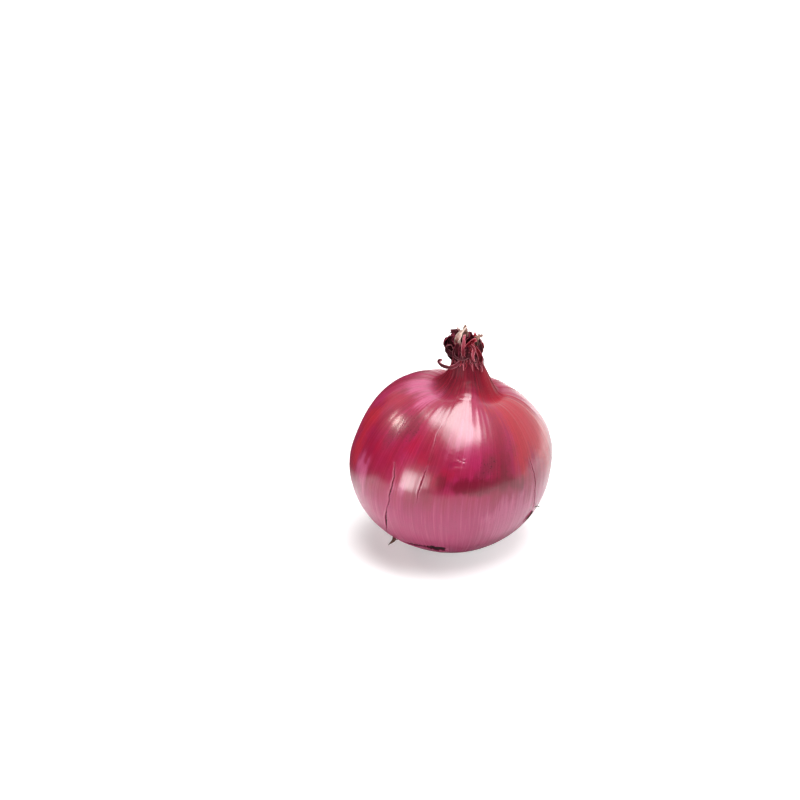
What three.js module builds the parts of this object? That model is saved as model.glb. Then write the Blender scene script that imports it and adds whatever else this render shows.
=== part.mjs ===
// A cured red onion: the bulb with its neck, the corky plate it stands on, dry root stubs,
// the withered leaf ends on top of the neck and two torn bits of outer skin.
// Millimetres, +Z up. The origin is the middle of the small flat spot under the root plate.

import * as THREE from 'three';

// Driving dimensions: radius and height of the places that the skin's outline runs through.
const skinFoot = { radius: 11, height: 1.2 };
const widest = { radius: 39.7, height: 35.4 };
const shoulder = { radius: 14.8, height: 65.1 };
const neckEnd = { radius: 5.3, height: 84 };

// How the outline leaves each of those places and comes to the next one.
const leavesFoot = { radius: 15, height: 1.2 };
const comesToWidest = { radius: 39.7, height: 11.4 };
const leavesWidest = { radius: 39.7, height: 49 };
const comesToShoulder = { radius: 24.5, height: 66 };
const leavesShoulder = { radius: 10.6, height: 64.3 };
const comesToNeckEnd = { radius: 5.2, height: 76 };
const neckCapRise = 1.1;

// The neck stands off to one side, and the shoulder under it slopes down to that side.
const neckShift = 6.8;
const neckBend = -1.4;
const lowerShift = -0.4;
const shoulderSlope = 0.12;

// The front of the shoulder is fuller and fills in the foot of the neck on that side.
const frontFullness = 3.6;
const frontSpread = 30;

// The shoulder is also fuller at the back left.
const sideFullness = 2.6;

const plateRadius = 8.4;
const plateThickness = 2.6;
const touchGap = 0.35;

const rootCount = 18;
const rootRadius = 0.38;

const outerLeafCount = 8;
const innerLeafCount = 4;
const leafThickness = 0.6;

const ringSegments = 52;
const lobeDepth = 0.3;

function skinMaterial(color, roughness) {
  return new THREE.MeshStandardMaterial({ color, roughness, metalness: 0 });
}

const bulbSkin = skinMaterial(0xa8375f, 0.38);
const corkyPlate = skinMaterial(0xa98f63, 0.9);
const dryRoot = skinMaterial(0x8d7748, 0.95);
const witheredLeaf = skinMaterial(0x6e1f33, 0.75);
const tornSkin = skinMaterial(0x6a3a30, 0.8);

const onion = new THREE.Group();

function addPiece(parent, name, geometry, material) {
  const piece = new THREE.Mesh(geometry, material);
  piece.name = name;
  parent.add(piece);
  return piece;
}

function numbered(name, number) {
  return `${name}_${String(number).padStart(2, '0')}`;
}

// The outline of the skin from the foot, round the widest part and over the shoulder to the neck.
function skinOutline() {
  const outline = new THREE.CurvePath();
  const stretches = [
    [skinFoot, leavesFoot, comesToWidest, widest],
    [widest, leavesWidest, comesToShoulder, shoulder],
    [shoulder, leavesShoulder, comesToNeckEnd, neckEnd],
  ];
  for (const places of stretches) {
    const points = places.map(({ radius, height }) => new THREE.Vector2(radius, height));
    outline.add(new THREE.CubicBezierCurve(...points));
  }
  return outline;
}

const outline = skinOutline();

// Bends a point of the round bulb to the leaning shape of the grown one.
function lean(x, y, z) {
  const slope = shoulderSlope * THREE.MathUtils.smoothstep(z, 34, 66);
  const shift = lowerShift * THREE.MathUtils.smoothstep(z, 0, 28)
    + neckShift * THREE.MathUtils.smoothstep(z, 30, 74)
    + neckBend * THREE.MathUtils.smoothstep(z, 72, 86);
  return new THREE.Vector3(x + shift, y, z - slope * x);
}

// A point of the skin at an angle round the bulb and a height, lifted off it by a distance.
function skinPoint(degrees, height, lift) {
  const samples = outline.getPoints(60);
  const index = samples.findIndex((sample) => sample.y >= height);
  const along = samples[index].clone().sub(samples[index - 1]).normalize();
  const radius = samples[index].x + along.y * lift;
  const angle = THREE.MathUtils.degToRad(degrees);
  return lean(radius * Math.cos(angle), radius * Math.sin(angle), height - along.x * lift);
}

// How far the skin is raised in front of the neck, by radius and angle round the bulb.
function frontSwell(radius, degrees) {
  const nearness = THREE.MathUtils.clamp((22.5 - radius) / 9.5, 0, 1);
  const share = THREE.MathUtils.smoothstep(radius, 7, 11) * nearness ** 1.8;
  return frontFullness * share * Math.exp(-(((degrees - 270) / frontSpread) ** 2));
}

// How far the skin swells out at the back left, by height and angle round the bulb.
function sideSwell(height, degrees) {
  const around = (degrees - 148) / 42;
  const along = (height - 56) / 11;
  return sideFullness * Math.exp(-(around ** 2) - along ** 2);
}

function makeBulb() {
  const dishHeight = plateThickness + touchGap;
  const dishRadius = plateRadius + touchGap;
  const profile = [
    new THREE.Vector2(0, dishHeight),
    new THREE.Vector2(dishRadius, dishHeight),
    new THREE.Vector2(dishRadius + 0.5, skinFoot.height + 0.3),
    ...outline.getPoints(12),
    new THREE.Vector2(neckEnd.radius * 0.7, neckEnd.height + neckCapRise * 0.8),
    new THREE.Vector2(0, neckEnd.height + neckCapRise),
  ];
  const geometry = new THREE.LatheGeometry(profile, ringSegments);
  geometry.rotateX(Math.PI / 2);
  const position = geometry.attributes.position;
  const point = new THREE.Vector3();
  const outward = new THREE.Vector3();
  for (let i = 0; i < position.count; i += 1) {
    point.fromBufferAttribute(position, i);
    outward.fromBufferAttribute(geometry.attributes.normal, i);
    const radius = Math.hypot(point.x, point.y);
    const angle = Math.atan2(point.y, point.x);
    const fullness = THREE.MathUtils.smoothstep(radius, 20, widest.radius);
    const lobe = 1 + lobeDepth * fullness * Math.sin(2 * angle) / widest.radius;
    const degrees = (THREE.MathUtils.radToDeg(angle) + 360) % 360;
    const raised = point.z > 60 ? frontSwell(radius, degrees) : 0;
    const swell = sideSwell(point.z, degrees);
    point.set(point.x * lobe, point.y * lobe, point.z).addScaledVector(outward, swell);
    const bent = lean(point.x, point.y, point.z + raised);
    position.setXYZ(i, bent.x, bent.y, bent.z);
  }
  addPiece(onion, 'bulb', geometry, bulbSkin);
}

function makeRootPlate() {
  const profile = [
    new THREE.Vector2(0, 0),
    new THREE.Vector2(plateRadius - 0.7, 0),
    new THREE.Vector2(plateRadius, 0.6),
    new THREE.Vector2(plateRadius, plateThickness),
    new THREE.Vector2(0, plateThickness),
  ];
  const geometry = new THREE.LatheGeometry(profile, 32);
  geometry.rotateX(Math.PI / 2);
  addPiece(onion, 'root_plate', geometry, corkyPlate);
}

function roundSection(radius, sides) {
  const section = new THREE.Shape();
  for (let i = 0; i < sides; i += 1) {
    const angle = (2 * Math.PI * i) / sides;
    const x = radius * Math.cos(angle);
    const y = radius * Math.sin(angle);
    if (i === 0) section.moveTo(x, y);
    else section.lineTo(x, y);
  }
  section.closePath();
  return section;
}

function sweep(points, section, steps) {
  const extrudePath = new THREE.CatmullRomCurve3(points);
  return new THREE.ExtrudeGeometry(section, { steps, bevelEnabled: false, extrudePath });
}

// Trimmed root stubs fan out from the edge of the plate, low under the skin.
function makeRoots() {
  const height = rootRadius + 0.06;
  for (let i = 0; i < rootCount; i += 1) {
    const angle = (2 * Math.PI * (i + 0.3 * Math.sin(5 * i))) / rootCount;
    const reach = 3.2 + 1.5 * Math.sin(2.3 * i + 0.7);
    const bend = 0.07 * Math.sin(3.7 * i);
    const start = plateRadius + touchGap;
    const points = [0, 0.5, 1].map((share) => {
      const radius = start + reach * share;
      const turned = angle + bend * share * share;
      return new THREE.Vector3(radius * Math.cos(turned), radius * Math.sin(turned), height);
    });
    const root = sweep(points, roundSection(rootRadius, 6), 4);
    addPiece(onion, numbered('root', i + 1), root, dryRoot);
  }
}

// A leaf end: a thin strip that stands on the neck and curls away from the middle.
function leafBlade({ base, tip, height, width }) {
  const curve = new THREE.QuadraticBezierCurve(
    new THREE.Vector2(base, 0),
    new THREE.Vector2(base, height * 0.6),
    new THREE.Vector2(tip, height),
  );
  const inner = [];
  const outer = [];
  const steps = 6;
  for (let i = 0; i <= steps; i += 1) {
    const share = i / steps;
    const point = curve.getPoint(share);
    const along = curve.getTangent(share);
    const half = leafThickness * 0.5;
    outer.push(new THREE.Vector2(point.x + along.y * half, point.y - along.x * half));
    inner.unshift(new THREE.Vector2(point.x - along.y * half, point.y + along.x * half));
  }
  const geometry = new THREE.ExtrudeGeometry(new THREE.Shape([...outer, ...inner]), {
    depth: width,
    bevelEnabled: false,
  });
  geometry.translate(0, 0, -width / 2);
  geometry.rotateX(Math.PI / 2);
  return geometry;
}

function makeTuft() {
  const tuft = new THREE.Group();
  tuft.position.copy(lean(0, 0, neckEnd.height + neckCapRise + touchGap));
  tuft.rotation.y = Math.atan(shoulderSlope);
  onion.add(tuft);
  for (let i = 0; i < outerLeafCount; i += 1) {
    const size = {
      base: 3.2,
      tip: 6.8 + 1.2 * Math.sin(2.1 * i + 1.2),
      height: 6.2 + 1.2 * Math.sin(3.3 * i + 0.4),
      width: 2.1,
    };
    const blade = addPiece(tuft, numbered('dry_leaf', i + 1), leafBlade(size), witheredLeaf);
    blade.rotation.z = (2 * Math.PI * i) / outerLeafCount;
  }
  for (let i = 0; i < innerLeafCount; i += 1) {
    const size = { base: 1.35, tip: 1.9, height: 6.9 + 0.6 * (i % 2), width: 1.2 };
    const name = numbered('dry_leaf', outerLeafCount + i + 1);
    const blade = addPiece(tuft, name, leafBlade(size), witheredLeaf);
    blade.rotation.z = (2 * Math.PI * (i + 0.5)) / innerLeafCount;
  }
}

// A withered strand that leaves the front of the neck and curls back at the side.
function makeStrand() {
  const points = [
    new THREE.Vector3(2.4, -5.4, 79.2),
    new THREE.Vector3(0.2, -5.2, 77.8),
    new THREE.Vector3(-2.6, -3.8, 77.4),
    new THREE.Vector3(-5.0, -2.4, 79),
  ];
  addPiece(onion, 'dry_strand', sweep(points, roundSection(0.5, 8), 8), witheredLeaf);
}

// Torn bits of the outer skin that stand a little off the bulb.
function makeTornSkin() {
  const section = new THREE.Shape([
    new THREE.Vector2(-0.35, -0.7),
    new THREE.Vector2(0.35, -0.7),
    new THREE.Vector2(0.35, 0.7),
    new THREE.Vector2(-0.35, 0.7),
  ]);
  const rightTear = [
    skinPoint(330, 23, 1.2),
    skinPoint(326, 20.5, 1.2),
    skinPoint(323, 17.5, 1.2),
  ];
  addPiece(onion, 'torn_skin_right', sweep(rightTear, section, 5), tornSkin);
  const leftFlap = [
    skinPoint(219.5, 11.5, 1.5),
    skinPoint(218.5, 9.8, 2.3),
    skinPoint(217.5, 8.4, 4.2),
  ];
  addPiece(onion, 'torn_skin_left', sweep(leftFlap, section, 4), tornSkin);
}

makeBulb();
makeRootPlate();
makeRoots();
makeTuft();
makeStrand();
makeTornSkin();

export default onion;
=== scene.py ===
import math
import random

import bmesh
import bpy
from mathutils import Matrix, Vector, noise
from mathutils.geometry import interpolate_bezier
from mathutils.kdtree import KDTree


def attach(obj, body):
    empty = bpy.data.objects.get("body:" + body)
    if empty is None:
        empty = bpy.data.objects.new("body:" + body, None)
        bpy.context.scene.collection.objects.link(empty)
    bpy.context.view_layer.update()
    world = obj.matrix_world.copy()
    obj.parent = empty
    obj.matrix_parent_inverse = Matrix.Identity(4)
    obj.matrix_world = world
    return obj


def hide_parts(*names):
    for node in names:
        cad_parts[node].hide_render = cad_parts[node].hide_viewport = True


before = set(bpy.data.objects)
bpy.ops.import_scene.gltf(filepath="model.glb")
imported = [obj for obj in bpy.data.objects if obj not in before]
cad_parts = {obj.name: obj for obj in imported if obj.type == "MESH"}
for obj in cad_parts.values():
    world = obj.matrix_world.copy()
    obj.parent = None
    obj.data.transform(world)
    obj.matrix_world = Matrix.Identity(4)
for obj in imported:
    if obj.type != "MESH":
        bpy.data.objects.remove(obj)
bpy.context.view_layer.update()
print("frame loaded")

scene = bpy.context.scene
metresPerMm = 0.001      # pieces are shaped in millimetres and scaled to metres at the end
mergeDistance = 0.002


def smoothStep(low, high, value):
    share = min(max((value - low) / (high - low), 0.0), 1.0)
    return share * share * (3.0 - 2.0 * share)


def blend(a, b, share):
    return a + (b - a) * share


def srgb(red, green, blue):
    parts = []
    for part in (red, green, blue):
        value = part / 255.0
        parts.append(value / 12.92 if value <= 0.04045 else ((value + 0.055) / 1.055) ** 2.4)
    return (*parts, 1.0)


def samplePath(points, spacing):
    # a smooth path through the given points, as close-set points
    out = []
    count = len(points)
    for i in range(count - 1):
        before = points[max(i - 1, 0)]
        after = points[min(i + 2, count - 1)]
        start, end = points[i], points[i + 1]
        handleA = start + (end - before) / 6.0
        handleB = end - (after - start) / 6.0
        steps = max(2, int((end - start).length / spacing) + 1)
        out.extend(interpolate_bezier(start, handleA, handleB, end, steps)[:-1])
    out.append(points[-1].copy())
    return out


def spinProfile(profile, steps):
    # a closed round body from an outline that starts and ends on the axis
    bm = bmesh.new()
    verts = [bm.verts.new(point) for point in profile]
    edges = [bm.edges.new(pair) for pair in zip(verts[:-1], verts[1:])]
    bmesh.ops.spin(bm, geom=verts + edges, cent=(0, 0, 0), axis=(0, 0, 1), angle=2 * math.pi,
                   steps=steps, use_merge=True)
    bmesh.ops.remove_doubles(bm, verts=bm.verts, dist=mergeDistance)
    bmesh.ops.recalc_face_normals(bm, faces=bm.faces)
    return bm


def addObject(name, data):
    made = bpy.data.objects.new(name, data)
    scene.collection.objects.link(made)
    return made


def addMesh(name, bm, material):
    mesh = bpy.data.meshes.new(name)
    bm.to_mesh(mesh)
    bm.free()
    mesh.materials.append(material)
    return addObject(name, mesh)


def finishPiece(bm, name, material):
    bmesh.ops.scale(bm, vec=(metresPerMm,) * 3, verts=bm.verts)
    piece = addMesh(name, bm, material)
    faces = piece.data.polygons
    faces.foreach_set("use_smooth", [True] * len(faces))
    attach(piece, "root")
    return piece


def feed(tree, socket, value):
    # a socket takes a link or a constant
    if isinstance(value, bpy.types.NodeSocket):
        tree.links.new(value, socket)
    else:
        socket.default_value = value


def addNode(tree, kind, inputs=None, **settings):
    node = tree.nodes.new(kind)
    for key, value in settings.items():
        setattr(node, key, value)
    for key, value in (inputs or {}).items():
        feed(tree, node.inputs[key], value)
    return node


def mixColours(tree, share, first, second, blendType="MIX"):
    node = addNode(tree, "ShaderNodeMix", data_type="RGBA", blend_type=blendType)
    for index, value in ((0, share), (6, first), (7, second)):
        feed(tree, node.inputs[index], value)
    return node.outputs[2]


def plus(tree, first, second):
    return addNode(tree, "ShaderNodeMath", {0: first, 1: second}, operation="ADD").outputs[0]


def times(tree, first, second, clamp=False):
    node = addNode(tree, "ShaderNodeMath", {0: first, 1: second}, operation="MULTIPLY",
                   use_clamp=clamp)
    return node.outputs[0]


def remap(tree, value, low, high, toLow=0.0, toHigh=1.0):
    node = addNode(tree, "ShaderNodeMapRange", {
        "Value": value, "From Min": low, "From Max": high, "To Min": toLow, "To Max": toHigh,
    }, interpolation_type="SMOOTHSTEP")
    return node.outputs["Result"]


def readAttribute(tree, name):
    return addNode(tree, "ShaderNodeAttribute", attribute_name=name, attribute_type="GEOMETRY")


def readMask(tree, name):
    return readAttribute(tree, name).outputs["Fac"]


def objectPlace(tree):
    return addNode(tree, "ShaderNodeTexCoord").outputs["Object"]


def shaderGroup(name, inputs, outputs):
    group = bpy.data.node_groups.new(name, "ShaderNodeTree")
    for label, kind, value in inputs:
        socket = group.interface.new_socket(name=label, in_out="INPUT", socket_type=kind)
        if value is not None:
            socket.default_value = value
    for label, kind in outputs:
        group.interface.new_socket(name=label, in_out="OUTPUT", socket_type=kind)
    start = group.nodes.new("NodeGroupInput")
    end = group.nodes.new("NodeGroupOutput")
    return group, start, end


def placeGroup(tree, group, inputs):
    node = tree.nodes.new("ShaderNodeGroup")
    node.node_tree = group
    for key, value in inputs.items():
        feed(tree, node.inputs[key], value)
    return node


def makeFibreGroup():
    # fine lines that run along a skin or a leaf, broken up along their length
    group, start, end = shaderGroup(
        "plantFibres",
        [("Vector", "NodeSocketVector", None), ("Fineness", "NodeSocketFloat", 40.0),
         ("Stretch", "NodeSocketFloat", 1.5)],
        [("Lines", "NodeSocketFloat"), ("Bands", "NodeSocketFloat"), ("Height", "NodeSocketFloat")],
    )
    parts = addNode(group, "ShaderNodeSeparateXYZ", {0: start.outputs["Vector"]})
    fineness = start.outputs["Fineness"]
    stretch = start.outputs["Stretch"]
    fine = addNode(group, "ShaderNodeCombineXYZ", {
        0: times(group, parts.outputs[0], fineness),
        1: times(group, parts.outputs[1], fineness),
        2: times(group, parts.outputs[2], stretch),
    })
    lines = addNode(group, "ShaderNodeTexNoise", {
        "Vector": fine.outputs[0], "Scale": 1.0, "Detail": 2.0, "Roughness": 0.62,
    })
    wide = addNode(group, "ShaderNodeVectorMath", {0: fine.outputs[0], 1: (0.22, 0.22, 0.6)},
                   operation="MULTIPLY")
    bands = addNode(group, "ShaderNodeTexNoise", {
        "Vector": wide.outputs[0], "Scale": 1.0, "Detail": 3.0, "Roughness": 0.55,
    })
    group.links.new(remap(group, lines.outputs[0], 0.32, 0.68), end.inputs["Lines"])
    group.links.new(remap(group, bands.outputs[0], 0.3, 0.7), end.inputs["Bands"])
    height = plus(group, times(group, lines.outputs[0], 0.7),
                       times(group, bands.outputs[0], 0.6))
    group.links.new(height, end.inputs["Height"])
    return group


def makeMottleGroup():
    # cloudy patches with small dark flecks
    group, start, end = shaderGroup(
        "mottledPatches",
        [("Vector", "NodeSocketVector", None), ("Scale", "NodeSocketFloat", 120.0),
         ("Fleck Scale", "NodeSocketFloat", 900.0)],
        [("Clouds", "NodeSocketFloat"), ("Flecks", "NodeSocketFloat")],
    )
    clouds = addNode(group, "ShaderNodeTexNoise", {
        "Vector": start.outputs["Vector"], "Scale": start.outputs["Scale"], "Detail": 4.0,
        "Roughness": 0.6, "Distortion": 0.4,
    })
    flecks = addNode(group, "ShaderNodeTexNoise", {
        "Vector": start.outputs["Vector"], "Scale": start.outputs["Fleck Scale"], "Detail": 2.0,
        "Roughness": 0.7,
    })
    group.links.new(remap(group, clouds.outputs[0], 0.36, 0.64), end.inputs["Clouds"])
    group.links.new(remap(group, flecks.outputs[0], 0.58, 0.7), end.inputs["Flecks"])
    return group


fibreGroup = makeFibreGroup()
mottleGroup = makeMottleGroup()


def fibresAlong(tree, vector, fineness, stretch):
    return placeGroup(tree, fibreGroup, {
        "Vector": vector, "Fineness": fineness, "Stretch": stretch,
    })


def mottleOn(tree, vector, scale, fleckScale):
    return placeGroup(tree, mottleGroup, {
        "Vector": vector, "Scale": scale, "Fleck Scale": fleckScale,
    })


def newMaterial(name):
    material = bpy.data.materials.new(name)
    material.use_nodes = True
    tree = material.node_tree
    return material, tree, tree.nodes["Principled BSDF"]


def setFinish(tree, shader, colour, roughness, specular=0.5):
    feed(tree, shader.inputs["Base Color"], colour)
    feed(tree, shader.inputs["Roughness"], roughness)
    feed(tree, shader.inputs["Specular IOR Level"], specular)


def addBump(tree, shader, height, strength, distance):
    bump = addNode(tree, "ShaderNodeBump", {
        "Height": height, "Strength": strength, "Distance": distance,
    })
    tree.links.new(bump.outputs[0], shader.inputs["Normal"])


bulb = {
    "foot": (11.0, 1.2),              # radius and height of the places on the outline
    "leavesFoot": (15.0, 1.2),
    "comesToWidest": (39.7, 11.4),
    "widest": (39.7, 35.4),
    "leavesWidest": (39.7, 49.0),
    "comesToShoulder": (24.5, 66.0),
    "shoulder": (14.8, 65.1),
    "leavesShoulder": (10.6, 64.3),
    "comesToNeckEnd": (5.2, 76.0),
    "neckEnd": (5.3, 84.0),
    "dish": [(0.0, 2.95), (8.75, 2.95), (9.25, 1.5)],
    "neckMouth": [(4.7, 84.7), (3.8, 84.5), (3.0, 83.2), (1.4, 82.2), (0.0, 82.0)],
    "rows": (84, 62, 54),
    "steps": 360,
    "neckShift": 6.8,
    "neckBend": -1.4,
    "lowerShift": -0.4,
    "shoulderSlope": 0.12,
    "lobe": 0.3,
    "neckFrom": 60.0,                 # everything above this height is drawn up into the neck
    # rise, angle and spread in degrees; the side one also has its height and spread in height
    "frontSwell": {"rise": 3.6, "angle": 270, "spread": 30.0},
    "sideSwell": {"rise": 2.6, "angle": 148, "spread": 42.0, "height": 56, "tall": 11.0},
}
widestRadius = bulb["widest"][0]
dishRadius = 9.2                      # places nearer the axis belong to the dish under the foot

# splits in the dry outer skin: angle and height of the places they run through, and at each
# place half the width of the gap
splits = {
    "leftSplit": {
        "path": [
            (229.6, 47, 0.05), (231.6, 45, 0.12), (233.2, 42.6, 0.16), (233.2, 38, 0.2),
            (232.8, 33, 0.13), (231.2, 29.5, 0.1), (229.6, 26.4, 0.24), (228.3, 23.6, 0.42),
            (227.2, 21, 0.36), (224.6, 18, 0.12), (221.5, 15.2, 0.1), (219.5, 12.6, 0.14),
        ],
        "depth": 0.42, "lip": 0.07,
    },
    "frontSplit": {
        "path": [
            (250.6, 48.6, 0.04), (250.1, 46, 0.1), (250.2, 43.2, 0.12), (249.6, 40, 0.11),
            (249.7, 37, 0.06), (249.2, 34, 0.02),
        ],
        "depth": 0.3, "lip": 0.06,
    },
    "rightSplit": {
        "path": [
            (318.8, 49.4, 0.03), (320, 46, 0.09), (321.8, 41, 0.12), (323.6, 35, 0.14),
            (325.2, 30, 0.13), (326.2, 26.6, 0.2), (326.2, 25.2, 0.1),
        ],
        "depth": 0.4, "lip": 0.12,
    },
    "rightTear": {
        "path": [
            (327.4, 24.6, 0.05), (328, 23.4, 0.12), (327.4, 22, 0.2), (325.8, 20.6, 0.26),
            (323.6, 19.2, 0.16), (321.2, 18.2, 0.06),
        ],
        "depth": 0.6, "lip": 0.16,
    },
    "bottomTear": {
        "path": [
            (227.5, 12.2, 0.2), (230.5, 11, 1.1), (235, 10.8, 1.9), (240, 11.2, 1.9),
            (245, 11.6, 1.4), (249.5, 11.4, 1.7), (253.5, 11.1, 2.8), (256.6, 10.8, 3.6),
            (259, 10.8, 3.7), (261, 11.2, 3.0),
        ],
        "depth": 0.6, "lip": 0.12,
    },
    "shoulderSeam": {
        "path": [
            (248.6, 61.8, 0.01), (248.8, 60.2, 0.05), (248.4, 58, 0.06), (249.8, 54.8, 0.05),
            (250.4, 51, 0.02),
        ],
        "depth": 0.12, "lip": 0.09,
    },
    "dimpleSeam": {
        "path": [
            (216.8, 59.6, 0.02), (219.4, 57.4, 0.07), (221, 55, 0.08), (221, 52.6, 0.02),
        ],
        "depth": 0.16, "lip": 0.1,
    },
    "crinkleRight": {
        "path": [
            (268.4, 51.3, 0.02), (270, 51.7, 0.09), (271.4, 51.5, 0.07), (272.6, 51.1, 0.02),
        ],
        "depth": 0.2, "lip": 0.06,
    },
    "backSplit": {
        "path": [
            (62, 52, 0.03), (60.4, 46, 0.14), (61.5, 39, 0.2), (59.6, 32, 0.22),
            (60.8, 25, 0.14), (59, 19, 0.04),
        ],
        "depth": 0.45, "lip": 0.14,
    },
    "backTear": {
        "path": [
            (118, 14, 0.06), (124, 12.6, 0.5), (131, 12.9, 0.9), (138, 11.8, 0.45),
            (143, 12, 0.06),
        ],
        "depth": 0.8, "lip": 0.15,
    },
    "sideSplit": {
        "path": [
            (158, 47, 0.03), (156.4, 42, 0.12), (157.4, 36, 0.14), (156.6, 30, 0.03),
        ],
        "depth": 0.35, "lip": 0.12,
    },
}

# soft patches of colour: angle, height, spread in degrees, spread in millimetres, strength
patches = {
    # these patches are the skin's own orange-red; on the neck the same mask paints a highlight,
    # mostly from the first patch high on the right
    "warmAndNeckHighlight": [
        (334, 73, 22, 6, 1.0), (324, 60, 14, 8, 1.0), (312, 50, 7, 8, 0.7),
        (340, 47, 9, 14, 0.9), (346, 57, 14, 9, 0.8), (192, 42, 7, 8, 0.9),
        (168, 46, 9, 9, 0.8), (186, 52, 8, 5, 0.6), (300, 66, 14, 3, 0.6),
        (20, 50, 20, 14, 0.6), (120, 58, 22, 9, 0.7), (85, 40, 12, 16, 0.4),
    ],
    "vivid": [
        (187, 59, 7, 2.8, 1.0), (198, 61, 5, 2.6, 0.7), (236, 53.4, 4.2, 3.4, 1.0),
        (247, 50, 4.2, 3, 0.8), (263, 46.2, 5.5, 2.8, 1.0), (257, 44, 5, 2.6, 0.7),
        (210, 49, 6, 4, 0.35), (226, 47, 4, 3, 0.3), (70, 56, 12, 6, 0.7),
        (150, 44, 10, 8, 0.6),
    ],
    "lilac": [
        (182, 65, 17, 2.4, 1.0), (204, 67, 16, 2.4, 0.8), (218, 64.6, 8, 3, 0.6),
        (268, 57, 12, 7, 0.5), (208, 36, 5, 7, 0.9), (203, 41, 5, 4, 0.6),
        (238, 39.6, 6, 3, 0.4), (313, 25, 14, 10, 1.0), (298, 24, 11, 9, 0.8),
        (338, 38, 7, 9, 0.6), (100, 62, 26, 5, 0.5), (30, 26, 16, 10, 0.5),
        (170, 24, 18, 9, 0.5),
    ],
    "brown": [
        (225, 58, 7, 3.4, 1.0), (218, 54, 5, 4, 0.9), (232, 56, 4, 3, 0.6),
        (289, 50.6, 5, 3.4, 1.0), (285, 47, 5, 2.4, 0.8), (298, 46, 5, 3, 0.5),
        (214, 58, 4, 3, 0.6), (308, 54, 4, 4, 0.5), (207, 33, 3, 4, 0.6), (48, 44, 9, 9, 0.7),
        (142, 34, 8, 7, 0.6), (102, 30, 8, 6, 0.4),
    ],
    "dark": [
        # the five patches at 40 to 45 mm across the front (260 to 309 degrees) are a painted dark
        # reflection of the dim surroundings in front; the rest are the skin's own dark patches
        (272, 42.8, 9, 2.6, 1.0), (286, 42.6, 8, 3.2, 1.0), (298, 42.6, 7, 3.4, 0.9),
        (309, 40, 5, 4, 0.6), (260, 45, 5, 2.6, 0.7), (250, 51, 5, 2, 0.3),
        (300, 50, 6, 4, 0.5), (202, 31, 6, 8, 0.5), (192, 36, 5, 6, 0.4), (75, 30, 14, 9, 0.5),
    ],
}


def outlinePoints():
    def at(key):
        radius, height = bulb[key]
        return Vector((radius, 0.0, height))
    stretches = (("foot", "leavesFoot", "comesToWidest", "widest"),
                 ("widest", "leavesWidest", "comesToShoulder", "shoulder"),
                 ("shoulder", "leavesShoulder", "comesToNeckEnd", "neckEnd"))
    points = [at("foot")]
    for keys, count in zip(stretches, bulb["rows"]):
        points.extend(interpolate_bezier(*[at(key) for key in keys], count + 1)[1:])
    return points


outline = outlinePoints()


def lean(point):
    # bends a point of the round bulb to the leaning shape of the grown one
    slope = bulb["shoulderSlope"] * smoothStep(34, 66, point.z)
    shift = (bulb["lowerShift"] * smoothStep(0, 28, point.z)
             + bulb["neckShift"] * smoothStep(30, 74, point.z)
             + bulb["neckBend"] * smoothStep(72, 86, point.z))
    return Vector((point.x + shift, point.y, point.z - slope * point.x))


def roundPoint(degrees, height, lift=0.0):
    # a point on the round bulb before it leans, lifted off the skin along its normal
    index = next(i for i, point in enumerate(outline) if point.z >= height and i > 0)
    low, high = outline[index - 1], outline[index]
    share = (height - low.z) / max(high.z - low.z, 1e-6)
    along = (high - low).normalized()
    radius = blend(low.x, high.x, share) + along.z * lift
    angle = math.radians(degrees)
    return Vector((radius * math.cos(angle), radius * math.sin(angle), height - along.x * lift))


def skinPoint(degrees, height, lift=0.0):
    return lean(roundPoint(degrees, height, lift))


def splitSamples():
    # every split as close-set points on the round bulb, with its own jagged wander
    samples = []
    for number, split in enumerate(splits.values()):
        path = [Vector((angle, height, width)) for angle, height, width in split["path"]]
        fine = samplePath(path, 0.12)
        points = []
        for step, place in enumerate(fine):
            wander = noise.noise(Vector((step * 0.045, number * 7.3, 0.0)))
            jag = noise.noise(Vector((step * 0.21, number * 3.1, 5.0)))
            degrees = place.x + 0.55 * wander + 0.28 * jag
            tatter = noise.noise(Vector((step * 0.6, number * 2.2, 3.0)))
            width = max(place.z * (1.0 + 0.5 * jag + 0.3 * tatter), 0.015)
            points.append((roundPoint(degrees, place.y), width))
        for i, (point, width) in enumerate(points):
            ahead = points[min(i + 1, len(points) - 1)][0]
            behind = points[max(i - 1, 0)][0]
            samples.append((point, width, (ahead - behind).normalized(), split))
    return samples


splitPoints = splitSamples()
splitTree = KDTree(len(splitPoints))
for number, sample in enumerate(splitPoints):
    splitTree.insert(sample[0], number)
splitTree.balance()


def splitRelief(point, normal):
    # depth of the gap, the mask of its inside, which is painted near-black as shadow, and the mask
    # of its raised edge, pale torn skin with a painted highlight
    place, number, distance = splitTree.find(point)
    if distance > 6.0:
        return 0.0, 0.0, 0.0
    width, along, split = splitPoints[number][1:]
    side = (point - place).cross(along).dot(normal)
    gap = 1.0 - smoothStep(max(0.5 * width, width - 0.3), width + 0.12, distance)
    fullness = min(width / 0.18, 1.0)
    edge = smoothStep(width - 0.05, width + 0.14, distance)
    edge *= 1.0 - smoothStep(width + 0.2, width + 0.95, distance)
    edge *= (1.0 if side > 0 else 0.45) * fullness
    depth = -split["depth"] * gap * min(width / 0.12, 1.0) + split["lip"] * edge
    return depth, gap * fullness, edge


def patchStrength(kind, degrees, height):
    total = 0.0
    for angle, level, spreadAngle, spreadHeight, strength in patches[kind]:
        turn = (degrees - angle + 180.0) % 360.0 - 180.0
        rise = (height - level) / spreadHeight
        total += strength * math.exp(-(turn / spreadAngle) ** 2 - rise ** 2)
    return min(total, 1.0)


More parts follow.
